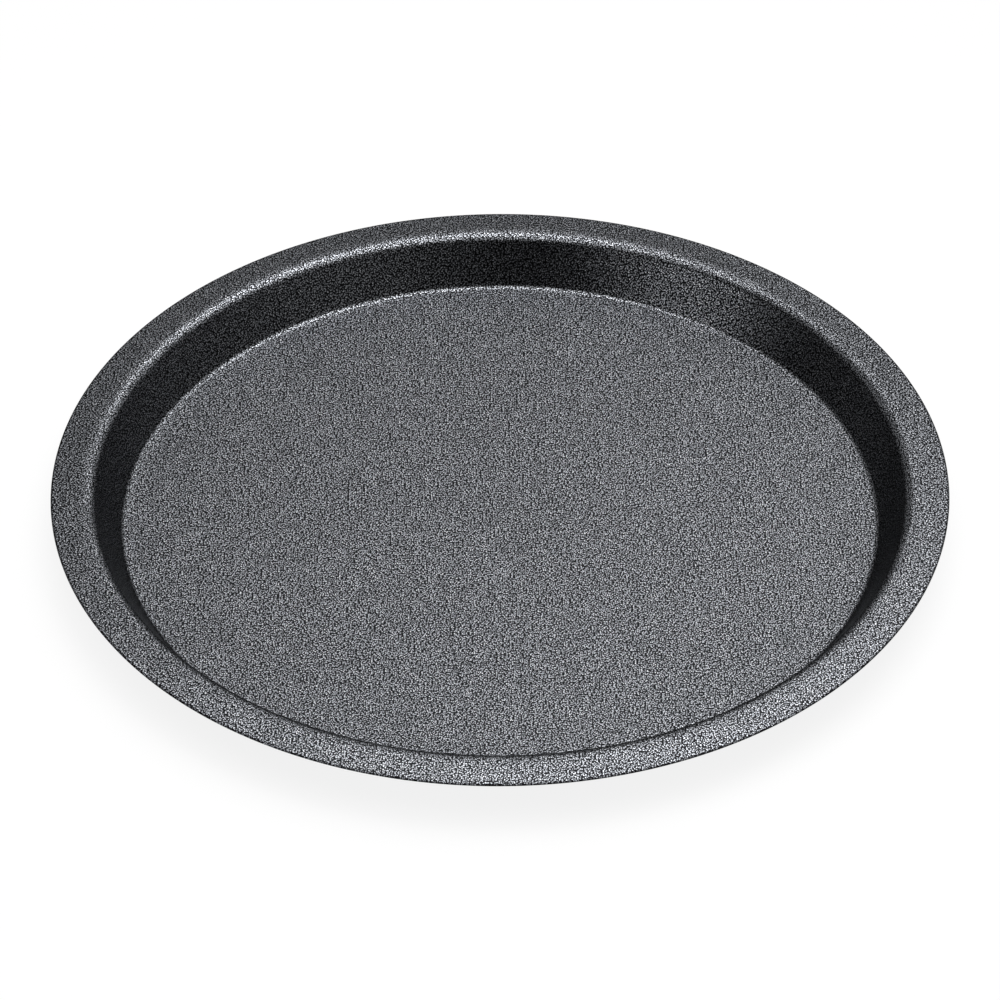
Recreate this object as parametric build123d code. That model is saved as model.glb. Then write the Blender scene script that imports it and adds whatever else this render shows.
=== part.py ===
from build123d import *
from math import atan2, cos, radians, sin, tan
import os

# Round rimmed pizza pan, drawn from one disc of sheet steel and then coated on both sides.
# Lengths are in millimetres and angles in degrees. Z is up, the pan is turned about the Z axis,
# and its floor rests on Z = 0. Radii, heights and depths of the outline are those of the food side.

# Pan
rim_diameter = 320.0
rim_height = 16.75
flange_width = 11.1
flange_droop = 5.0
wall_run = 10.1

# Crown, where the sheet still rises a little past the shoulder before it bends over into the flange
crown_width = 3.7
crown_slope = 3.0
crown_bend_radius = 18.0

# Outer ring of the floor, which sweeps up a little before it meets the wall
sweep_width = 3.2
sweep_slope = 3.0
sweep_bend_radius = 75.0

# Tools that the sheet is bent over: the punch's corner inside the floor, the die's under the shoulder
punch_corner_radius = 2.0
die_corner_radius = 3.4

# Sheet and its coatings
steel_thickness = 0.5
coating_thickness = 0.05
coating_seam_land = 0.3

# Trimmed edge of the sheet, which rolls over on the food side, where it was cut, and is only eased below
edge_rollover = 0.35
edge_rollover_limit_share = 0.75
edge_rounding = 0.1
edge_rounding_limit_share = 0.2

# Depths under the food side at which one layer ends and the next one starts
steel_top = coating_thickness
steel_bottom = steel_top + steel_thickness
underside = steel_bottom + coating_thickness

# Places of the outline's sharp corners, before its bends are rounded
rim_radius = rim_diameter / 2
crown_radius = rim_radius - flange_width
shoulder_radius = crown_radius - crown_width
wall_foot_radius = shoulder_radius - wall_run
sweep_radius = wall_foot_radius - sweep_width
floor_height = underside
wall_foot_height = floor_height + sweep_width * tan(radians(sweep_slope))
crown_height = rim_height + flange_width * tan(radians(flange_droop))
shoulder_height = crown_height - crown_width * tan(radians(crown_slope))

# Angles at which each stretch of the outline rises outwards
sweep_angle = radians(sweep_slope)
wall_angle = atan2(shoulder_height - wall_foot_height, wall_run)
crown_angle = radians(crown_slope)
flange_angle = -radians(flange_droop)

# Rounding of the steel's edge, of the coating around it, and where the two coatings meet on the flange
steel_rollover = min(edge_rollover, edge_rollover_limit_share * steel_thickness)
steel_rounding = min(edge_rounding, edge_rounding_limit_share * steel_thickness)
coated_rollover = steel_rollover + coating_thickness
coated_rounding = steel_rounding + coating_thickness
coating_seam_inset = coated_rollover + coating_seam_land


def bend_corner(radius, height, angle_in, angle_out, depth):
    """Sharp corner of a bend, at a depth under the food side."""
    middle_angle = (angle_in + angle_out) / 2
    mitre = depth / cos((angle_out - angle_in) / 2)
    return radius + mitre * sin(middle_angle), height - mitre * cos(middle_angle)


def flange_point(inset, depth):
    """Point of the flange, at an inset from the trimmed edge and a depth under the food side."""
    along = -inset
    out = along * cos(flange_angle) + depth * sin(flange_angle)
    up = along * sin(flange_angle) - depth * cos(flange_angle)
    return rim_radius + out, rim_height + up


def drawn_path(depth):
    """Corners with their bend radii, from the axis out to the crown, at a depth under the food side."""
    axis = (0, floor_height - depth)
    sweep = bend_corner(sweep_radius, floor_height, 0, sweep_angle, depth)
    wall_foot = bend_corner(wall_foot_radius, wall_foot_height, sweep_angle, wall_angle, depth)
    shoulder = bend_corner(shoulder_radius, shoulder_height, wall_angle, crown_angle, depth)
    crown = bend_corner(crown_radius, crown_height, crown_angle, flange_angle, depth)
    return [
        (axis, 0),
        (sweep, sweep_bend_radius + depth),
        (wall_foot, punch_corner_radius + depth),
        (shoulder, die_corner_radius + underside - depth),
        (crown, crown_bend_radius - depth),
    ]


def turned_solid(corners):
    """Solid of revolution from the corners and corner radii of its closed section."""
    points = [point for point, corner_radius in corners]
    corner_radii = [corner_radius for point, corner_radius in corners]
    outline = FilletPolyline(*points, radius=corner_radii, close=True)
    section = make_face(Plane.XZ * outline)
    return revolve(section, Axis.Z)


def steel_pan():
    """The drawn sheet, out to its trimmed edge."""
    trimmed_edge = [
        (flange_point(coating_thickness, steel_top), steel_rollover),
        (flange_point(coating_thickness, steel_bottom), steel_rounding),
    ]
    return turned_solid(drawn_path(steel_top) + trimmed_edge + drawn_path(steel_bottom)[::-1])


def inside_coating():
    """The coating on the food side, which ends on the flange just inside the trimmed edge."""
    seam = [
        (flange_point(coating_seam_inset, 0), 0),
        (flange_point(coating_seam_inset, steel_top), 0),
    ]
    return turned_solid(drawn_path(0) + seam + drawn_path(steel_top)[::-1])


def outside_coating():
    """The coating on the underside, which wraps the trimmed edge and meets the other one on the flange."""
    wrapped_edge = [
        (flange_point(coating_thickness, steel_bottom), steel_rounding),
        (flange_point(coating_thickness, steel_top), steel_rollover),
        (flange_point(coating_seam_inset, steel_top), 0),
        (flange_point(coating_seam_inset, 0), 0),
        (flange_point(0, 0), coated_rollover),
        (flange_point(0, underside), coated_rounding),
    ]
    return turned_solid(drawn_path(steel_bottom) + wrapped_edge + drawn_path(underside)[::-1])


pieces = {
    "steel_pan": steel_pan(),
    "inside_coating": inside_coating(),
    "outside_coating": outside_coating(),
}

os.makedirs("parts", exist_ok=True)
for name, piece in pieces.items():
    export_step(piece, f"parts/{name}.step")
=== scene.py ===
from math import atan2, cos, pi, radians, sin, sinh, tan

import bmesh
import bpy
from bpy.props import FloatProperty, FloatVectorProperty, IntProperty, PointerProperty
from mathutils import Matrix, Vector


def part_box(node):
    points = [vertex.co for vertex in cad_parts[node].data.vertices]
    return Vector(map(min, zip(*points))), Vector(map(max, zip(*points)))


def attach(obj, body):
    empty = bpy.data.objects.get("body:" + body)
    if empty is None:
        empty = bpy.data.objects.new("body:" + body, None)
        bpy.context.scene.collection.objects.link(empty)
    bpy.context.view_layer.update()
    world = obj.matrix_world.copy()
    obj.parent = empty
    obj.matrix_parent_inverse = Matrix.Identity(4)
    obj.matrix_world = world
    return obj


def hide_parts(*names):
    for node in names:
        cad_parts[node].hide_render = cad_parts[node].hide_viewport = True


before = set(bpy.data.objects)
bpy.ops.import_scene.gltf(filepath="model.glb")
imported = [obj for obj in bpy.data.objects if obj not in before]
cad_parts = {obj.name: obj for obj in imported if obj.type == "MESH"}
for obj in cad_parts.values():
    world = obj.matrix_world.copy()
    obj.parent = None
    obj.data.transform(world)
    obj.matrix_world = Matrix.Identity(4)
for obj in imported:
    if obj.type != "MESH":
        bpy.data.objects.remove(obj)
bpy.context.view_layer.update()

bl_info = {
    "name": "Pizza Pan",
    "version": (1, 0, 0),
    "blender": (4, 5, 0),
    "location": "3D View > Sidebar > Pizza Pan",
    "description": "Round rimmed pizza pan of sheet steel with a metallic-flake non-stick coating",
    "category": "Add Mesh",
}


def layer_height(node):
    """Height of a CAD layer's lowest face."""
    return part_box(node)[0][2]


# Lengths are in metres and angles in radians.
# The layers' thicknesses and the pan's width come from the CAD frame.
COATING_THICKNESS = layer_height("steel_pan") - layer_height("outside_coating")
STEEL_THICKNESS = layer_height("inside_coating") - layer_height("steel_pan")
PAN_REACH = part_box("outside_coating")[1][0]


class PizzaPanSizes(bpy.types.PropertyGroup):
    """Sizes of the pan's outline, on its food side, and of its layers"""

    reach: FloatProperty(
        name="Reach", description="From the axis to the outermost point of the rounded rim",
        default=PAN_REACH, unit="LENGTH", subtype="DISTANCE", precision=5)
    rim_height: FloatProperty(
        name="Rim height", description="Height of the flange's top at its trimmed edge",
        default=0.01675, unit="LENGTH", subtype="DISTANCE", precision=5)
    flange_width: FloatProperty(
        name="Flange width", description="From the trimmed edge in to the crown's corner",
        default=0.0111, unit="LENGTH", subtype="DISTANCE", precision=5)
    flange_droop: FloatProperty(
        name="Flange droop", description="Angle by which the flange falls outwards",
        default=radians(5.0), unit="ROTATION", subtype="ANGLE")
    crown_width: FloatProperty(
        name="Crown width", description="From the crown's corner in to the shoulder's corner",
        default=0.0037, unit="LENGTH", subtype="DISTANCE", precision=5)
    crown_slope: FloatProperty(
        name="Crown slope", description="Angle by which the sheet still rises between the two corners",
        default=radians(3.0), unit="ROTATION", subtype="ANGLE")
    crown_bend_radius: FloatProperty(
        name="Crown bend", description="Radius of the gentle bend over the crown, on the food side",
        default=0.018, unit="LENGTH", subtype="DISTANCE", precision=5)
    wall_run: FloatProperty(
        name="Wall run", description="How far the wall leans out between its foot and the shoulder",
        default=0.0101, unit="LENGTH", subtype="DISTANCE", precision=5)
    sweep_width: FloatProperty(
        name="Sweep width", description="Width of the floor's outer ring, which sweeps up to the wall",
        default=0.0032, unit="LENGTH", subtype="DISTANCE", precision=5)
    sweep_slope: FloatProperty(
        name="Sweep slope", description="Angle by which the floor's outer ring rises outwards",
        default=radians(3.0), unit="ROTATION", subtype="ANGLE")
    sweep_bend_radius: FloatProperty(
        name="Sweep bend", description="Radius of the bend from the flat floor to its outer ring",
        default=0.075, unit="LENGTH", subtype="DISTANCE", precision=5)
    punch_corner_radius: FloatProperty(
        name="Floor bend", description="Radius of the bend from the floor to the wall, on the food side",
        default=0.002, unit="LENGTH", subtype="DISTANCE", precision=5)
    die_corner_radius: FloatProperty(
        name="Shoulder bend", description="Radius of the bend from the wall to the flange, on the underside",
        default=0.0034, unit="LENGTH", subtype="DISTANCE", precision=5)
    steel_thickness: FloatProperty(
        name="Steel", description="Thickness of the steel sheet",
        default=STEEL_THICKNESS, unit="LENGTH", subtype="DISTANCE", precision=5)
    coating_thickness: FloatProperty(
        name="Coating", description="Thickness of each coating",
        default=COATING_THICKNESS, unit="LENGTH", subtype="DISTANCE", precision=5)
    edge_rollover: FloatProperty(
        name="Edge rollover", description="Radius of the steel's trimmed edge on the food side",
        default=0.00035, unit="LENGTH", subtype="DISTANCE", precision=5)
    edge_rounding: FloatProperty(
        name="Edge rounding", description="Radius of the steel's trimmed edge on the underside",
        default=0.0001, unit="LENGTH", subtype="DISTANCE", precision=5)
    seam_land: FloatProperty(
        name="Seam land", description="Flat stretch between the rounded edge and the seam of the coatings",
        default=0.0003, unit="LENGTH", subtype="DISTANCE", precision=5)
    steps_around: IntProperty(
        name="Steps around", description="Faces in one turn of the pan", default=512)
    doublings: IntProperty(
        name="Doublings", description="How often the first arc of the turn is doubled to close it", default=4)
    bend_segments: IntProperty(
        name="Bend segments", description="Faces across each bend of the sheet", default=12)
    edge_segments: IntProperty(
        name="Edge segments", description="Faces across each rounding of the trimmed edge", default=6)


class CoatingFinish(bpy.types.PropertyGroup):
    """Look of the metallic-flake non-stick coating and of the steel under it"""

    inside_colour: FloatVectorProperty(
        name="Inside colour", description="Mean colour of the metallic flakes on the food side",
        default=(0.135, 0.14, 0.151), subtype="COLOR", size=3, min=0.0, max=1.0)
    # Darker than the inside colour. The darkness is partly the underside coating's own tone and partly
    # painted shade, so that the wrapped trimmed edge shows as a dark line.
    outside_colour_and_edge_shade: FloatVectorProperty(
        name="Outside colour", description="Mean colour of the metallic flakes on the underside and the edge",
        default=(0.05, 0.052, 0.056), subtype="COLOR", size=3, min=0.0, max=1.0)
    flake_spacing: FloatProperty(
        name="Flake spacing", description="Mean distance between neighbouring flakes",
        default=0.0007, unit="LENGTH", subtype="DISTANCE", precision=5)
    flake_reach: FloatProperty(
        name="Flake reach", description="How far a flake's shine reaches, as a share of the spacing",
        default=0.24, subtype="FACTOR")
    binder_share: FloatProperty(
        name="Binder share", description="Share of the shine that comes evenly from between the flakes",
        default=0.08, subtype="FACTOR")
    flake_scatter: FloatProperty(
        name="Flake scatter", description="How far the flakes stray from even rows", default=1.0,
        subtype="FACTOR")
    flake_contrast: FloatProperty(
        name="Flake contrast", description="How much the flakes differ in brightness", default=0.75)
    flake_tilt: FloatProperty(
        name="Flake tilt", description="How far the flakes lean out of the surface", default=0.12)
    gloss_roughness: FloatProperty(
        name="Roughness", description="Roughness of the coating's shine", default=0.412, subtype="FACTOR")
    brightest_colour: FloatVectorProperty(
        name="Brightest colour", description="Colour that no flake passes",
        default=(0.95, 0.95, 0.95), subtype="COLOR", size=3, min=0.0, max=1.0)
    edge_tint: FloatVectorProperty(
        name="Edge tint", description="Colour of the coating's shine where it is seen edge on",
        default=(0.6, 0.6, 0.6), subtype="COLOR", size=3, min=0.0, max=1.0)
    steel_colour: FloatVectorProperty(
        name="Steel colour", description="Colour of the cold-rolled steel",
        default=(0.56, 0.57, 0.58), subtype="COLOR", size=3, min=0.0, max=1.0)
    steel_grain_scale: FloatProperty(
        name="Steel grain", description="Spots of the steel's satin grain in one metre", default=900.0)
    steel_grain_detail: FloatProperty(
        name="Steel grain detail", description="Finer layers of the steel's grain", default=4.0)
    steel_smoothest: FloatProperty(
        name="Steel smoothest", description="Lowest roughness of the steel", default=0.3, subtype="FACTOR")
    steel_roughest: FloatProperty(
        name="Steel roughest", description="Highest roughness of the steel", default=0.5, subtype="FACTOR")


class StudioSettings(bpy.types.PropertyGroup):
    """Camera, lamps and floor"""

    camera_distance: FloatProperty(
        name="Camera distance", description="From the middle of the rim to the camera",
        default=2.08, unit="LENGTH", subtype="DISTANCE")
    camera_elevation: FloatProperty(
        name="Camera elevation", description="Angle of the camera above the horizon",
        default=radians(39.39), unit="ROTATION", subtype="ANGLE")
    camera_dip: FloatProperty(
        name="Camera dip", description="How far below the rim's middle the camera aims",
        default=0.003, unit="ROTATION", subtype="ANGLE")
    camera_roll: FloatProperty(
        name="Camera roll", description="Turn of the camera about its line of sight, clockwise",
        default=0.0049, unit="ROTATION", subtype="ANGLE")
    focal_length: FloatProperty(
        name="Focal length", description="Focal length of the lens in millimetres", default=210.06)
    sensor_width: FloatProperty(
        name="Sensor width", description="Width of the sensor in millimetres", default=36.0)
    key_direction: FloatVectorProperty(
        name="Key direction", description="From the pan towards the large softbox",
        default=(0.223, 0.386, 1.0), size=3, subtype="DIRECTION")
    key_distance: FloatProperty(
        name="Key distance", description="From the pan to the large softbox",
        default=2.5, unit="LENGTH", subtype="DISTANCE")
    key_width: FloatProperty(
        name="Key width", description="Width of the large softbox",
        default=2.0, unit="LENGTH", subtype="DISTANCE")
    key_power: FloatProperty(
        name="Key power", description="Power of the large softbox in watts", default=30.0)
    fill_direction: FloatVectorProperty(
        name="Fill direction", description="From the pan towards the small fill light",
        default=(-0.80, -0.59, 0.12), size=3, subtype="DIRECTION")
    fill_distance: FloatProperty(
        name="Fill distance", description="From the pan to the small fill light",
        default=2.0, unit="LENGTH", subtype="DISTANCE")
    fill_width: FloatProperty(
        name="Fill width", description="Width of the small fill light",
        default=0.5, unit="LENGTH", subtype="DISTANCE")
    fill_power: FloatProperty(
        name="Fill power", description="Power of the small fill light in watts", default=6.0)
    floor_radius: FloatProperty(
        name="Floor radius", description="Radius of the pale floor",
        default=30.0, unit="LENGTH", subtype="DISTANCE")
    floor_segments: IntProperty(
        name="Floor segments", description="Sides of the round floor", default=96)
    floor_colour: FloatVectorProperty(
        name="Floor colour", description="Colour of the pale floor",
        default=(0.94, 0.94, 0.94), subtype="COLOR", size=3, min=0.0, max=1.0)
    floor_lift: FloatProperty(
        name="Floor lift", description="Share of plain white in the floor round the object",
        default=0.86, subtype="FACTOR")
    fade_start: FloatProperty(
        name="Fade start", description="From the axis to where the floor starts to fade to plain white",
        default=0.17, unit="LENGTH", subtype="DISTANCE")
    fade_end: FloatProperty(
        name="Fade end", description="From the axis to where the floor is plain white",
        default=0.4, unit="LENGTH", subtype="DISTANCE")
    room_level: FloatProperty(
        name="Room level", description="Brightness of the dim studio all round", default=0.03)
    horizon_level: FloatProperty(
        name="Horizon level", description="Brightness of the studio at and below the horizon", default=1.0)
    ceiling_level: FloatProperty(
        name="Ceiling level", description="Brightness that the lit ceiling adds", default=1.9)
    backdrop_level: FloatProperty(
        name="Backdrop level", description="Brightness that the backdrop behind the pan adds", default=0.45)
    side_level: FloatProperty(
        name="Side level", description="Brightness that the pale wall on the right adds", default=0.36)


class Outline:
    """The pan's section, worked out from its sizes."""

    def __init__(self, pan):
        self.pan = pan
        self.steel_top = pan.coating_thickness
        self.steel_bottom = self.steel_top + pan.steel_thickness
        self.underside = self.steel_bottom + pan.coating_thickness
        self.coated_rollover = pan.edge_rollover + pan.coating_thickness
        self.coated_rounding = pan.edge_rounding + pan.coating_thickness
        self.seam_inset = self.coated_rollover + pan.seam_land
        self.flange_angle = -pan.flange_droop
        # The sharp corner that the rollover rounds lies a little beyond the outermost point of the rim.
        edge_overhang = self.coated_rollover * (cos(pan.flange_droop) + sin(pan.flange_droop) - 1)
        self.rim_radius = pan.reach + edge_overhang
        self.crown_radius = self.rim_radius - pan.flange_width
        self.shoulder_radius = self.crown_radius - pan.crown_width
        self.foot_radius = self.shoulder_radius - pan.wall_run
        self.sweep_radius = self.foot_radius - pan.sweep_width
        self.floor_height = self.underside
        self.foot_height = self.floor_height + pan.sweep_width * tan(pan.sweep_slope)
        self.crown_height = pan.rim_height + pan.flange_width * tan(pan.flange_droop)
        self.shoulder_height = self.crown_height - pan.crown_width * tan(pan.crown_slope)
        self.wall_angle = atan2(self.shoulder_height - self.foot_height, pan.wall_run)

    def bend_corner(self, radius, height, angle_in, angle_out, depth):
        """Sharp corner of a bend, at a depth under the food side."""
        middle_angle = (angle_in + angle_out) / 2
        mitre = depth / cos((angle_out - angle_in) / 2)
        return radius + mitre * sin(middle_angle), height - mitre * cos(middle_angle)

    def flange_point(self, inset, depth):
        """Point of the flange, at an inset from the trimmed edge and a depth under the food side."""
        out = -inset * cos(self.flange_angle) + depth * sin(self.flange_angle)
        up = -inset * sin(self.flange_angle) - depth * cos(self.flange_angle)
        return self.rim_radius + out, self.pan.rim_height + up

    def drawn_path(self, depth):
        """Corners with their bend radii, from the axis out to the crown, at a depth under the food side."""
        pan = self.pan
        axis = (0.0, self.floor_height - depth)
        sweep = self.bend_corner(self.sweep_radius, self.floor_height, 0.0, pan.sweep_slope, depth)
        foot = self.bend_corner(self.foot_radius, self.foot_height, pan.sweep_slope, self.wall_angle, depth)
        shoulder = self.bend_corner(
            self.shoulder_radius, self.shoulder_height, self.wall_angle, pan.crown_slope, depth)
        crown = self.bend_corner(
            self.crown_radius, self.crown_height, pan.crown_slope, self.flange_angle, depth)
        return [
            (axis, 0.0),
            (sweep, pan.sweep_bend_radius + depth),
            (foot, pan.punch_corner_radius + depth),
            (shoulder, pan.die_corner_radius + self.underside - depth),
            (crown, pan.crown_bend_radius - depth),
        ]

    def steel_section(self):
        """Section of the steel, with its trimmed edge rounded on both sides."""
        coat = self.pan.coating_thickness
        trimmed_edge = [
            (self.flange_point(coat, self.steel_top), self.pan.edge_rollover),
            (self.flange_point(coat, self.steel_bottom), self.pan.edge_rounding),
        ]
        return self.drawn_path(self.steel_top) + trimmed_edge + self.drawn_path(self.steel_bottom)[::-1]

    def inside_section(self):
        """Section of the coating on the food side."""
        seam = [
            (self.flange_point(self.seam_inset, 0.0), 0.0),
            (self.flange_point(self.seam_inset, self.steel_top), 0.0),
        ]
        return self.drawn_path(0.0) + seam + self.drawn_path(self.steel_top)[::-1]

    def outside_section(self):
        """Section of the coating on the underside, which wraps the trimmed edge."""
        coat = self.pan.coating_thickness
        wrapped_edge = [
            (self.flange_point(coat, self.steel_bottom), self.pan.edge_rounding),
            (self.flange_point(coat, self.steel_top), self.pan.edge_rollover),
            (self.flange_point(self.seam_inset, self.steel_top), 0.0),
            (self.flange_point(self.seam_inset, 0.0), 0.0),
            (self.flange_point(0.0, 0.0), self.coated_rollover),
            (self.flange_point(0.0, self.underside), self.coated_rounding),
        ]
        return self.drawn_path(self.steel_bottom) + wrapped_edge + self.drawn_path(self.underside)[::-1]


def round_bend(bm, corner, bend_radius, segments):
    """Rounds one corner of a section drawn with edges."""
    before, after = (edge.other_vert(corner).co - corner.co for edge in corner.link_edges)
    turn = pi - before.angle(after)
    bmesh.ops.bevel(
        bm, geom=[corner], offset=bend_radius * tan(turn / 2), offset_type="OFFSET",
        segments=segments, profile=0.5, affect="VERTICES", material=-1)


def turned_piece(name, section, pan):
    """Object of a section that runs from the axis out and back to it, turned once about the axis."""
    merge_distance = pan.coating_thickness / 10
    sharp_angle = radians(50.0)
    bm = bmesh.new()
    corners = [bm.verts.new((radius, 0.0, height)) for (radius, height), bend in section]
    for start, end in zip(corners, corners[1:]):
        bm.edges.new((start, end))
    for corner, (place, bend_radius) in zip(corners, section):
        if bend_radius:
            at_the_rim = bend_radius <= pan.edge_rollover + pan.coating_thickness
            round_bend(bm, corner, bend_radius, pan.edge_segments if at_the_rim else pan.bend_segments)
    arc_steps = round(pan.steps_around / 2 ** pan.doublings)
    arc = 2 * pi / 2 ** pan.doublings
    bmesh.ops.spin(
        bm, geom=bm.verts[:] + bm.edges[:], cent=(0, 0, 0), axis=(0, 0, 1), dvec=(0, 0, 0),
        angle=arc, steps=arc_steps, use_duplicate=False)
    for doubling in range(pan.doublings):
        copy = bmesh.ops.duplicate(bm, geom=bm.verts[:] + bm.edges[:] + bm.faces[:])["geom"]
        bmesh.ops.rotate(
            bm, verts=[part for part in copy if isinstance(part, bmesh.types.BMVert)], cent=(0, 0, 0),
            matrix=Matrix.Rotation(arc * 2 ** doubling, 3, "Z"))
    bmesh.ops.remove_doubles(bm, verts=bm.verts, dist=merge_distance)
    bmesh.ops.recalc_face_normals(bm, faces=bm.faces)
    for face in bm.faces:
        face.smooth = True
    for edge in bm.edges:
        edge.smooth = edge.calc_face_angle(0.0) < sharp_angle
    mesh = bpy.data.meshes.new(name)
    bm.to_mesh(mesh)
    bm.free()
    piece = bpy.data.objects.new(name, mesh)
    bpy.context.scene.collection.objects.link(piece)
    normals = piece.modifiers.new("even_shading", "WEIGHTED_NORMAL")
    normals.keep_sharp = True
    return piece


def add_node(tree, kind, values=None, **settings):
    """Adds a node, with its settings, and each input set to a value or linked to an output."""
    node = tree.nodes.new(kind)
    for setting, value in settings.items():
        setattr(node, setting, value)
    for socket, value in (values or {}).items():
        if isinstance(value, bpy.types.NodeSocket):
            tree.links.new(value, node.inputs[socket])
        else:
            node.inputs[socket].default_value = value
    return node


def new_material(name):
    """An empty node material, with its tree and its output."""
    material = bpy.data.materials.new(name)
    material.use_nodes = True
    tree = material.node_tree
    tree.nodes.clear()
    return material, tree, tree.nodes.new("ShaderNodeOutputMaterial")


def unrolled_place(tree, outline):
    """Place on the sheet as seen from above, with the slope of the wall laid out flat at its full length."""
    place = add_node(tree, "ShaderNodeTexCoord").outputs["Object"]
    flat = add_node(tree, "ShaderNodeVectorMath", {0: place, 1: (1.0, 1.0, 0.0)}, operation="MULTIPLY")
    radius = add_node(tree, "ShaderNodeVectorMath", {0: flat.outputs[0]}, operation="LENGTH")
    height = add_node(tree, "ShaderNodeSeparateXYZ", {0: place})
    above = add_node(
        tree, "ShaderNodeMath", {0: height.outputs[2], 1: outline.floor_height}, operation="SUBTRACT")
    risen = add_node(tree, "ShaderNodeMath", {0: above.outputs[0], 1: 0.0}, operation="MAXIMUM")
    share = add_node(
        tree, "ShaderNodeMath", {0: risen.outputs[0], 1: radius.outputs["Value"]}, operation="DIVIDE")
    stretch = add_node(
        tree, "ShaderNodeMath", {0: share.outputs[0], 1: tan(outline.wall_angle / 2), 2: 1.0},
        operation="MULTIPLY_ADD")
    return add_node(
        tree, "ShaderNodeVectorMath", {0: flat.outputs[0], "Scale": stretch.outputs[0]},
        operation="SCALE").outputs[0]


def flake_coating_material(name, mean_colour, finish, outline):
    """Non-stick coating of fine metallic flakes in a dark binder, each with its own brightness and lean."""
    material, tree, output = new_material(name)
    cells = add_node(
        tree, "ShaderNodeTexVoronoi",
        {"Vector": unrolled_place(tree, outline), "Scale": 1 / finish.flake_spacing,
         "Randomness": finish.flake_scatter},
        voronoi_dimensions="2D", feature="F1")
    # Each flake's three random shares add up to its own swing in brightness.
    share_count = 3
    shares = add_node(tree, "ShaderNodeSeparateColor", {"Color": cells.outputs["Color"]})
    two = add_node(tree, "ShaderNodeMath", {0: shares.outputs[0], 1: shares.outputs[1]}, operation="ADD")
    three = add_node(tree, "ShaderNodeMath", {0: two.outputs[0], 1: shares.outputs[2]}, operation="ADD")
    swing = add_node(
        tree, "ShaderNodeMath",
        {0: three.outputs[0], 1: finish.flake_contrast, 2: -finish.flake_contrast * share_count / 2},
        operation="MULTIPLY_ADD")
    distance = cells.outputs["Distance"]
    square = add_node(tree, "ShaderNodeMath", {0: distance, 1: distance}, operation="MULTIPLY")
    fading = add_node(
        tree, "ShaderNodeMath", {0: square.outputs[0], 1: -1 / finish.flake_reach ** 2, 2: swing.outputs[0]},
        operation="MULTIPLY_ADD")
    strength = add_node(tree, "ShaderNodeMath", {0: fading.outputs[0]}, operation="EXPONENT")
    # The mean strength over the coat, so that its mean colour comes out as stated.
    mean_swing = (2 * sinh(finish.flake_contrast / 2) / finish.flake_contrast) ** share_count
    mean_strength = mean_swing * pi * finish.flake_reach ** 2
    shine = add_node(
        tree, "ShaderNodeMath",
        {0: strength.outputs[0], 1: (1 - finish.binder_share) / mean_strength, 2: finish.binder_share},
        operation="MULTIPLY_ADD")
    colour = add_node(
        tree, "ShaderNodeVectorMath", {0: mean_colour, "Scale": shine.outputs[0]}, operation="SCALE")
    capped = add_node(
        tree, "ShaderNodeVectorMath", {0: colour.outputs[0], 1: finish.brightest_colour}, operation="MINIMUM")
    lean = add_node(
        tree, "ShaderNodeTexWhiteNoise", {"Vector": cells.outputs["Position"]}, noise_dimensions="3D")
    centred = add_node(
        tree, "ShaderNodeVectorMath", {0: lean.outputs["Color"], 1: (0.5, 0.5, 0.5)}, operation="SUBTRACT")
    surface = add_node(tree, "ShaderNodeNewGeometry")
    tilted = add_node(
        tree, "ShaderNodeVectorMath",
        {0: centred.outputs[0], 1: (finish.flake_tilt,) * 3, 2: surface.outputs["Normal"]},
        operation="MULTIPLY_ADD")
    normal = add_node(tree, "ShaderNodeVectorMath", {0: tilted.outputs[0]}, operation="NORMALIZE")
    shader = add_node(tree, "ShaderNodeBsdfMetallic", {
        "Base Color": capped.outputs[0],
        "Edge Tint": (*finish.edge_tint, 1.0),
        "Roughness": finish.gloss_roughness,
        "Normal": normal.outputs[0],
    }, distribution="BECKMANN", fresnel_type="F82")
    tree.links.new(shader.outputs[0], output.inputs["Surface"])
    return material


def steel_material(name, finish):
    """Cold-rolled steel with a fine satin grain."""
    material, tree, output = new_material(name)
    place = add_node(tree, "ShaderNodeTexCoord")
    grain = add_node(
        tree, "ShaderNodeTexNoise",
        {"Vector": place.outputs["Object"], "Scale": finish.steel_grain_scale,
         "Detail": finish.steel_grain_detail})
    roughness = add_node(
        tree, "ShaderNodeMapRange",
        {"Value": grain.outputs[0], "To Min": finish.steel_smoothest, "To Max": finish.steel_roughest})
    shader = add_node(tree, "ShaderNodeBsdfPrincipled", {
        "Base Color": (*finish.steel_colour, 1.0),
        "Metallic": 1.0,
        "Roughness": roughness.outputs[0],
    })
    tree.links.new(shader.outputs[0], output.inputs["Surface"])
    return material


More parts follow.
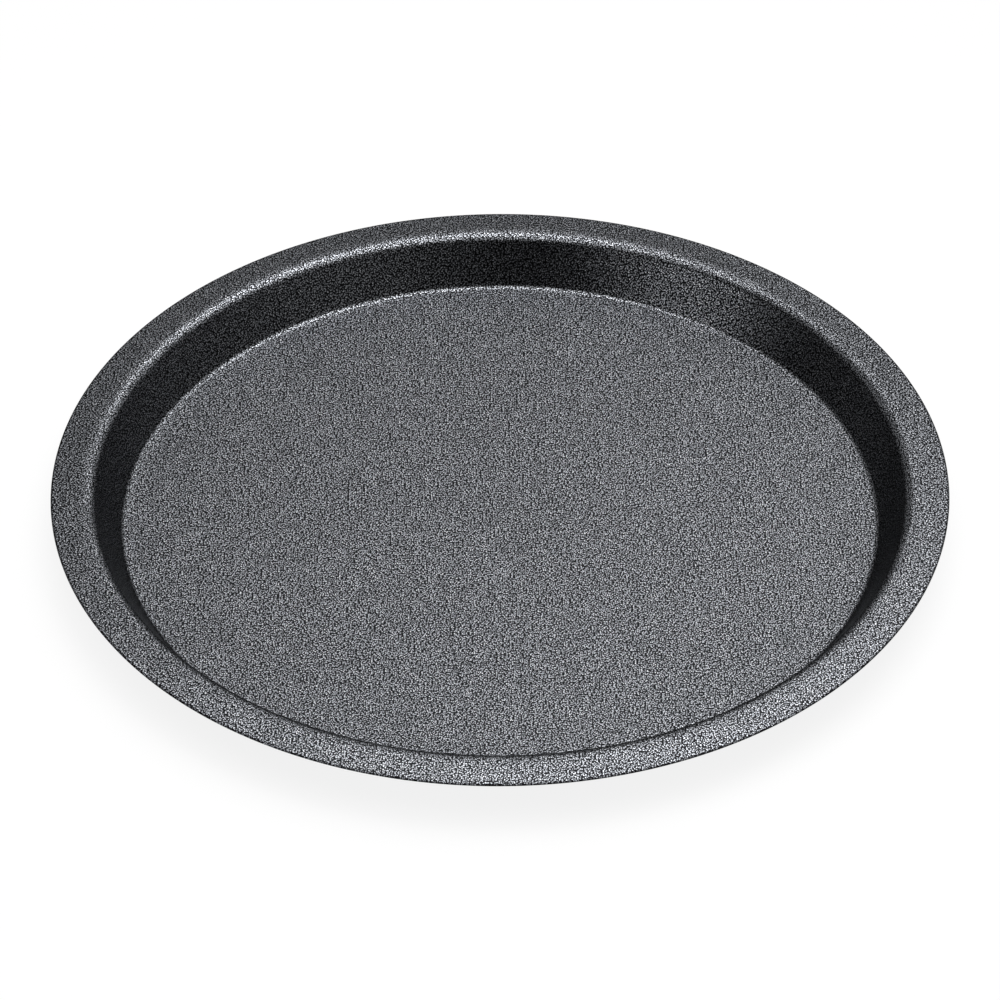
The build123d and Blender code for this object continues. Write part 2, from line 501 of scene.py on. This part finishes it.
def floor_material(studio):
    """Pale matt floor that fades to plain white away from the object. It is clear from below."""
    material, tree, output = new_material("pale_floor")
    place = add_node(tree, "ShaderNodeTexCoord")
    distance = add_node(tree, "ShaderNodeVectorMath", {0: place.outputs["Object"]}, operation="LENGTH")
    fade = add_node(
        tree, "ShaderNodeMapRange",
        {"Value": distance.outputs["Value"], "From Min": studio.fade_start, "From Max": studio.fade_end,
         "To Min": studio.floor_lift, "To Max": 1.0},
        interpolation_type="SMOOTHSTEP")
    ray = add_node(tree, "ShaderNodeLightPath")
    seen = add_node(
        tree, "ShaderNodeMath",
        {0: ray.outputs["Is Camera Ray"], 1: ray.outputs["Is Glossy Ray"]}, operation="MAXIMUM")
    seen_through = add_node(
        tree, "ShaderNodeMath",
        {0: seen.outputs[0], 1: ray.outputs["Is Transmission Ray"]}, operation="MAXIMUM")
    share = add_node(
        tree, "ShaderNodeMath", {0: seen_through.outputs[0], 1: fade.outputs[0]}, operation="MULTIPLY")
    matt = add_node(tree, "ShaderNodeBsdfDiffuse", {"Color": (*studio.floor_colour, 1.0)})
    white = add_node(tree, "ShaderNodeEmission", {"Strength": 1.0})
    lit = add_node(
        tree, "ShaderNodeMixShader", {0: share.outputs[0], 1: matt.outputs[0], 2: white.outputs[0]})
    surface = add_node(tree, "ShaderNodeNewGeometry")
    clear = add_node(tree, "ShaderNodeBsdfTransparent")
    one_sided = add_node(
        tree, "ShaderNodeMixShader",
        {0: surface.outputs["Backfacing"], 1: lit.outputs[0], 2: clear.outputs[0]})
    tree.links.new(one_sided.outputs[0], output.inputs["Surface"])
    return material


def finish_piece(piece, node, material):
    """Gives a piece its material and its place in the frame, in the stead of its CAD node."""
    piece.data.materials.append(material)
    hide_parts(node)
    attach(piece, "root")


class PIZZAPAN_OT_camera(bpy.types.Operator):
    """Place the camera at the photograph's viewing angle"""

    bl_idname = "pizzapan.camera"
    bl_label = "Camera"

    def execute(self, context):
        studio = context.scene.pizza_pan_studio
        pan = context.scene.pizza_pan_sizes
        aim = Vector((0.0, 0.0, pan.rim_height))
        towards = Vector((0.0, -cos(studio.camera_elevation), sin(studio.camera_elevation)))
        data = bpy.data.cameras.new("camera")
        data.sensor_width = studio.sensor_width
        data.lens = studio.focal_length
        camera = bpy.data.objects.new("camera", data)
        context.scene.collection.objects.link(camera)
        look = (-towards).to_track_quat("-Z", "Y").to_matrix()
        turn = Matrix.Rotation(-studio.camera_dip, 3, "X") @ Matrix.Rotation(-studio.camera_roll, 3, "Z")
        camera.matrix_world = (look @ turn).to_4x4()
        camera.location = aim + towards * studio.camera_distance
        context.scene.camera = camera
        return {"FINISHED"}


class PIZZAPAN_OT_steel(bpy.types.Operator):
    """Turn the drawn steel sheet"""

    bl_idname = "pizzapan.steel"
    bl_label = "Steel pan"

    def execute(self, context):
        pan = context.scene.pizza_pan_sizes
        piece = turned_piece("drawn_steel", Outline(pan).steel_section(), pan)
        finish_piece(piece, "steel_pan", steel_material("cold_rolled_steel", context.scene.pizza_pan_finish))
        return {"FINISHED"}


class PIZZAPAN_OT_inside_coating(bpy.types.Operator):
    """Turn the coating on the food side"""

    bl_idname = "pizzapan.inside_coating"
    bl_label = "Inside coating"

    def execute(self, context):
        pan = context.scene.pizza_pan_sizes
        outline = Outline(pan)
        piece = turned_piece("nonstick_inside", outline.inside_section(), pan)
        finish = context.scene.pizza_pan_finish
        coat = flake_coating_material("flake_inside", finish.inside_colour, finish, outline)
        finish_piece(piece, "inside_coating", coat)
        return {"FINISHED"}


class PIZZAPAN_OT_outside_coating(bpy.types.Operator):
    """Turn the coating on the underside, which wraps the trimmed edge"""

    bl_idname = "pizzapan.outside_coating"
    bl_label = "Outside coating"

    def execute(self, context):
        pan = context.scene.pizza_pan_sizes
        outline = Outline(pan)
        piece = turned_piece("nonstick_outside", outline.outside_section(), pan)
        finish = context.scene.pizza_pan_finish
        # The outside colour holds the coating's own darker tone and painted shade along the trimmed edge.
        coat = flake_coating_material("flake_outside", finish.outside_colour_and_edge_shade, finish, outline)
        finish_piece(piece, "outside_coating", coat)
        return {"FINISHED"}


def add_softbox(name, direction, distance, width, power):
    """Hangs a square softbox that faces the pan."""
    data = bpy.data.lights.new(name, "AREA")
    data.shape = "SQUARE"
    data.size = width
    data.energy = power
    lamp = bpy.data.objects.new(name, data)
    bpy.context.scene.collection.objects.link(lamp)
    away = Vector(direction).normalized()
    lamp.location = away * distance
    lamp.rotation_euler = (-away).to_track_quat("-Z", "Y").to_euler()
    lamp.visible_camera = False


def light_room(studio):
    """Dim studio with a lit ceiling, a backdrop behind, a pale wall on the right and white below."""
    world = bpy.data.worlds.new("studio")
    bpy.context.scene.world = world
    world.use_nodes = True
    tree = world.node_tree
    tree.nodes.clear()
    place = add_node(tree, "ShaderNodeTexCoord")
    parts = add_node(tree, "ShaderNodeSeparateXYZ", {0: place.outputs["Generated"]})

    def ramp(socket, start, end, before=0.0, after=1.0):
        return add_node(
            tree, "ShaderNodeMapRange",
            {"Value": socket, "From Min": start, "From Max": end, "To Min": before, "To Max": after},
            interpolation_type="SMOOTHSTEP").outputs[0]

    def rise(start, end):
        return ramp(up, sin(radians(start)), sin(radians(end)))

    def fall(start, end):
        return ramp(up, sin(radians(start)), sin(radians(end)), before=1.0, after=0.0)

    def both(first, second):
        return add_node(tree, "ShaderNodeMath", {0: first, 1: second}, operation="MULTIPLY").outputs[0]

    def lit(level, share, added):
        return add_node(
            tree, "ShaderNodeMath", {0: share, 1: added, 2: level}, operation="MULTIPLY_ADD").outputs[0]

    # Where each part of the room starts and is full: degrees above the horizon, or shares of the way
    # towards the back and the right.
    right, back, up = parts.outputs
    backdrop_start_share, backdrop_full_share = -0.1, 0.5
    side_start_share, side_full_share = 0.0, 0.6
    backdrop_foot = both(ramp(back, backdrop_start_share, backdrop_full_share), rise(start=5.0, end=15.0))
    backdrop = both(backdrop_foot, fall(start=40.0, end=55.0))
    side = both(ramp(right, side_start_share, side_full_share), rise(start=10.0, end=25.0))
    ceiling = rise(start=45.0, end=75.0)
    below = fall(start=-0.2, end=1.2)
    level = lit(studio.room_level, backdrop, studio.backdrop_level)
    level = lit(level, side, studio.side_level)
    level = lit(level, ceiling, studio.ceiling_level)
    level = lit(level, below, studio.horizon_level)
    background = add_node(tree, "ShaderNodeBackground", {"Color": level, "Strength": 1.0})
    add_node(tree, "ShaderNodeOutputWorld", {"Surface": background.outputs[0]})


class PIZZAPAN_OT_stage(bpy.types.Operator):
    """Lay the pale floor and hang the soft lights"""

    bl_idname = "pizzapan.stage"
    bl_label = "Stage"

    def execute(self, context):
        studio = context.scene.pizza_pan_studio
        bm = bmesh.new()
        bmesh.ops.create_circle(bm, cap_ends=True, segments=studio.floor_segments, radius=studio.floor_radius)
        mesh = bpy.data.meshes.new("floor")
        bm.to_mesh(mesh)
        bm.free()
        mesh.materials.append(floor_material(studio))
        floor = bpy.data.objects.new("floor", mesh)
        context.scene.collection.objects.link(floor)
        add_softbox("key", studio.key_direction, studio.key_distance, studio.key_width, studio.key_power)
        add_softbox("fill", studio.fill_direction, studio.fill_distance, studio.fill_width, studio.fill_power)
        light_room(studio)
        context.scene.view_settings.view_transform = "Standard"
        return {"FINISHED"}


class PIZZAPAN_PT_panel(bpy.types.Panel):
    """Lists the pan's pieces and its stage"""

    bl_idname = "PIZZAPAN_PT_panel"
    bl_label = "Pizza Pan"
    bl_space_type = "VIEW_3D"
    bl_region_type = "UI"
    bl_category = "Pizza Pan"

    def draw(self, context):
        for operator in OPERATORS:
            self.layout.operator(operator.bl_idname)


OPERATORS = (
    PIZZAPAN_OT_camera,
    PIZZAPAN_OT_steel,
    PIZZAPAN_OT_inside_coating,
    PIZZAPAN_OT_outside_coating,
    PIZZAPAN_OT_stage,
)
CLASSES = (PizzaPanSizes, CoatingFinish, StudioSettings, *OPERATORS, PIZZAPAN_PT_panel)


def register():
    for cls in CLASSES:
        bpy.utils.register_class(cls)
    bpy.types.Scene.pizza_pan_sizes = PointerProperty(type=PizzaPanSizes)
    bpy.types.Scene.pizza_pan_finish = PointerProperty(type=CoatingFinish)
    bpy.types.Scene.pizza_pan_studio = PointerProperty(type=StudioSettings)


def unregister():
    del bpy.types.Scene.pizza_pan_studio
    del bpy.types.Scene.pizza_pan_finish
    del bpy.types.Scene.pizza_pan_sizes
    for cls in reversed(CLASSES):
        bpy.utils.unregister_class(cls)


def main():
    register()
    bpy.ops.pizzapan.camera()
    bpy.ops.pizzapan.steel()
    bpy.ops.pizzapan.inside_coating()
    bpy.ops.pizzapan.outside_coating()
    bpy.ops.pizzapan.stage()


if __name__ == "__main__":
    main()
